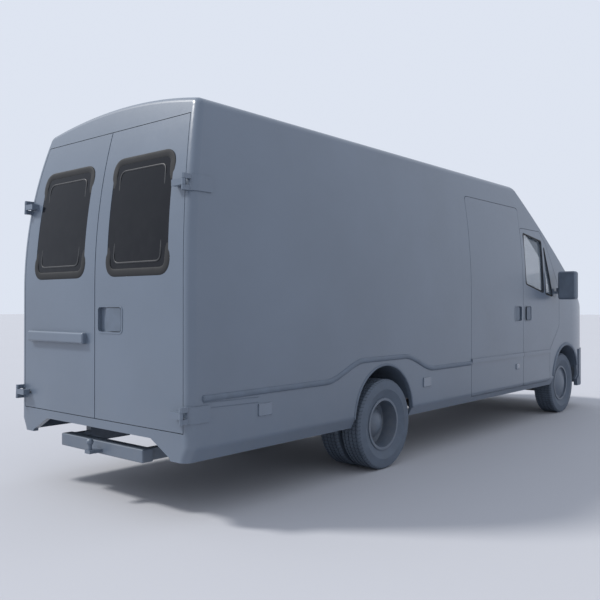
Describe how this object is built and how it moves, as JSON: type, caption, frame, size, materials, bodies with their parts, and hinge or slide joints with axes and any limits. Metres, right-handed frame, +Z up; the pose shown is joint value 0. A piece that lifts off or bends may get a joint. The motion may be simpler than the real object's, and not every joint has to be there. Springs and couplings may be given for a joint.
{
  "type": "high-roof delivery van",
  "caption": "High-roof panel van with double rear doors, sliding side door, glazed cab, twin rear wheels and a tow frame; doors, windows, mirrors, wheels and controls move.",
  "frame": {"origin": "on the ground under the middle of the bounding box", "axes": "+X forwards, +Y to the vehicle's left, +Z up"},
  "size_m": [7.3239, 2.58, 2.8],
  "materials": {
    "body": "satin blue-grey paint",
    "inner_paint": "matt inner paint",
    "trim": "grained plastic in the body colour",
    "cab_trim": "dark grained plastic",
    "chassis": "dark chassis paint",
    "engine": "cast surface",
    "tank": "moulded black",
    "exhaust": "aluminised steel, dulled",
    "cab_glass": "clear safety glass",
    "rear_glass": "dark privacy glass",
    "lamp": "lens in the body colour",
    "seat_cloth": "woven cloth",
    "pedal": "ribbed rubber on steel",
    "steel": "forged steel",
    "tyre": "rubber, blue-grey as shown",
    "wheel": "satin wheel paint"
  },
  "bodies": {
    "chassis": {"body_side_left": "body", "body_side_right": "body", "bulkhead": "inner_paint", "cab_shell": "body", "chassis_frame": "chassis", "dashboard": "cab_trim", "exhaust": "exhaust", "floor": "inner_paint", "front_bumper": "trim", "front_subframe": "chassis", "fuel_tank": "tank", "grille": "trim", "lamps": "lamp", "power_unit": "engine", "rear_axle": "chassis", "rear_hinge_brackets": "body", "rear_portal": "body", "roof_panel": "body", "seat_cushions": "seat_cloth", "seat_frames": "inner_paint", "side_cladding": "body", "side_mouldings": "trim", "tow_frame": "chassis", "wheel_arch_liners": "trim", "windscreen": "cab_glass"},
    "rear_door_left_body": {"rear_door_left": "body", "rear_window_left": "rear_glass", "plate_lamp_bar": "body"},
    "rear_door_right_body": {"rear_door_right": "body", "rear_window_right": "rear_glass"},
    "rear_handle_body": {"rear_handle": "trim"},
    "side_door_body": {"side_door": "body"},
    "side_door_handle_body": {"side_door_handle": "trim"},
    "bonnet_body": {"bonnet": "body"},
    "propshaft_body": {"propshaft": "chassis"},
    "steering_wheel_body": {"steering_wheel": "cab_trim"},
    "gear_lever_body": {"gear_lever": "cab_trim"},
    "parking_brake_body": {"parking_brake_lever": "cab_trim"},
    "brake_pedal_body": {"brake_pedal": "pedal"},
    "accelerator_pedal_body": {"accelerator_pedal": "pedal"},
    "cab_door_left_body": {"cab_door_left": "body", "quarter_window_left": "cab_glass"},
    "cab_handle_left_body": {"cab_handle_left": "trim"},
    "cab_window_left_body": {"cab_window_left": "cab_glass"},
    "mirror_left_body": {"mirror_left": "trim"},
    "knuckle_left_body": {"knuckle_left": "steel"},
    "front_wheel_left_body": {"front_tyre_left": "tyre", "front_wheel_left": "wheel"},
    "rear_wheels_left_body": {"rear_tyres_left": "tyre", "rear_wheels_left": "wheel"},
    "cab_door_right_body": {"cab_door_right": "body", "quarter_window_right": "cab_glass"},
    "cab_handle_right_body": {"cab_handle_right": "trim"},
    "cab_window_right_body": {"cab_window_right": "cab_glass"},
    "mirror_right_body": {"mirror_right": "trim"},
    "knuckle_right_body": {"knuckle_right": "steel"},
    "front_wheel_right_body": {"front_tyre_right": "tyre", "front_wheel_right": "wheel"},
    "rear_wheels_right_body": {"rear_tyres_right": "tyre", "rear_wheels_right": "wheel"}
  },
  "joints": [
    {"name": "rear_door_left_hinge", "type": "hinge", "parent": "chassis", "child": "rear_door_left_body", "pos_m": [-3.645, 0.98, 0.69], "axis": [0.0338, -0.0251, 0.9991], "range_deg": [-180, 0]},
    {"name": "rear_door_right_hinge", "type": "hinge", "parent": "chassis", "child": "rear_door_right_body", "pos_m": [-3.645, -0.98, 0.69], "axis": [0.0338, 0.0251, 0.9991], "range_deg": [0, 180]},
    {"name": "rear_handle_pull", "type": "hinge", "parent": "rear_door_right_body", "child": "rear_handle_body", "pos_m": [-3.587, -0.298, 1.267], "axis": [0, 0, 1], "range_deg": [0, 35], "stiffness_Nm_per_rad": 2},
    {"name": "side_door_slide", "type": "slide", "parent": "chassis", "child": "side_door_body", "axis": [0, -1, 0], "range_m": [0, 0.075]},
    {"name": "side_door_handle_pull", "type": "hinge", "parent": "side_door_body", "child": "side_door_handle_body", "pos_m": [1.119, -0.997, 1.267], "axis": [0, 0, -1], "range_deg": [0, 35], "stiffness_Nm_per_rad": 2},
    {"name": "cab_handle_right_pull", "type": "hinge", "parent": "cab_door_right_body", "child": "cab_handle_right_body", "pos_m": [1.519, -0.997, 1.267], "axis": [0, 0, 1], "range_deg": [0, 35], "stiffness_Nm_per_rad": 2},
    {"name": "cab_handle_left_pull", "type": "hinge", "parent": "cab_door_left_body", "child": "cab_handle_left_body", "pos_m": [1.519, 0.997, 1.267], "axis": [0, 0, -1], "range_deg": [0, 35], "stiffness_Nm_per_rad": 2},
    {"name": "cab_door_left_hinge", "type": "hinge", "parent": "chassis", "child": "cab_door_left_body", "pos_m": [2.39, 1.02, 1.3], "axis": [0, 0, 1], "range_deg": [-65, 0]},
    {"name": "cab_window_left_lift", "type": "hinge", "parent": "cab_door_left_body", "child": "cab_window_left_body", "pos_m": [1.93, -5.39, 1.45], "axis": [1, 0, 0], "range_deg": [-4.5, 0]},
    {"name": "mirror_left_fold", "type": "hinge", "parent": "cab_door_left_body", "child": "mirror_left_body", "pos_m": [2.23, 1.055, 1.3], "axis": [0, 0, 1], "range_deg": [0, 45]},
    {"name": "knuckle_left_steer", "type": "hinge", "parent": "chassis", "child": "knuckle_left_body", "pos_m": [2.63, 0.772, 0.373], "axis": [0, 0, 1], "range_deg": [-35, 35]},
    {"name": "front_wheel_left_spin", "type": "hinge", "parent": "knuckle_left_body", "child": "front_wheel_left_body", "pos_m": [2.63, 0.9, 0.373], "axis": [0, 1, 0], "continuous": true},
    {"name": "rear_wheels_left_spin", "type": "hinge", "parent": "chassis", "child": "rear_wheels_left_body", "pos_m": [-1.47, 0.8, 0.373], "axis": [0, 1, 0], "continuous": true},
    {"name": "cab_door_right_hinge", "type": "hinge", "parent": "chassis", "child": "cab_door_right_body", "pos_m": [2.39, -1.02, 1.3], "axis": [0, 0, 1], "range_deg": [0, 65]},
    {"name": "cab_window_right_lift", "type": "hinge", "parent": "cab_door_right_body", "child": "cab_window_right_body", "pos_m": [1.93, 5.39, 1.45], "axis": [1, 0, 0], "range_deg": [0, 4.5]},
    {"name": "mirror_right_fold", "type": "hinge", "parent": "cab_door_right_body", "child": "mirror_right_body", "pos_m": [2.23, -1.055, 1.3], "axis": [0, 0, 1], "range_deg": [-45, 0]},
    {"name": "knuckle_right_steer", "type": "hinge", "parent": "chassis", "child": "knuckle_right_body", "pos_m": [2.63, -0.772, 0.373], "axis": [0, 0, 1], "range_deg": [-35, 35]},
    {"name": "front_wheel_right_spin", "type": "hinge", "parent": "knuckle_right_body", "child": "front_wheel_right_body", "pos_m": [2.63, -0.9, 0.373], "axis": [0, 1, 0], "continuous": true},
    {"name": "rear_wheels_right_spin", "type": "hinge", "parent": "chassis", "child": "rear_wheels_right_body", "pos_m": [-1.47, -0.8, 0.373], "axis": [0, 1, 0], "continuous": true},
    {"name": "propshaft_spin", "type": "hinge", "parent": "chassis", "child": "propshaft_body", "pos_m": [-1.2795, 0, 0.373], "axis": [0.9994, 0, 0.0333], "continuous": true},
    {"name": "steering_wheel_turn", "type": "hinge", "parent": "chassis", "child": "steering_wheel_body", "pos_m": [2.19, 0.42, 1.29], "axis": [-0.8829, 0, 0.4695], "range_deg": [-420, 420]},
    {"name": "gear_lever_tilt", "type": "hinge", "parent": "chassis", "child": "gear_lever_body", "pos_m": [2.23, 0, 0.95], "axis": [0, 1, 0], "range_deg": [-12, 12], "stiffness_Nm_per_rad": 5},
    {"name": "parking_brake_lift", "type": "hinge", "parent": "chassis", "child": "parking_brake_body", "pos_m": [1.73, 0.06, 0.8], "axis": [0, -1, 0], "range_deg": [0, 30]},
    {"name": "brake_pedal_push", "type": "hinge", "parent": "chassis", "child": "brake_pedal_body", "pos_m": [2.475, 0.39, 1.01], "axis": [0, -1, 0], "range_deg": [0, 15], "stiffness_Nm_per_rad": 20},
    {"name": "accelerator_pedal_push", "type": "hinge", "parent": "chassis", "child": "accelerator_pedal_body", "pos_m": [2.475, 0.312, 1.01], "axis": [0, -1, 0], "range_deg": [0, 15], "stiffness_Nm_per_rad": 8},
    {"name": "bonnet_lift", "type": "hinge", "parent": "chassis", "child": "bonnet_body", "pos_m": [3.19, 0, 1.41], "axis": [0, -1, 0], "range_deg": [0, 55]}
  ],
  "couplings": [
    {"joint": "knuckle_right_steer", "follows": "knuckle_left_steer", "ratio": 1},
    {"joint": "steering_wheel_turn", "follows": "knuckle_left_steer", "ratio": 12}
  ]
}
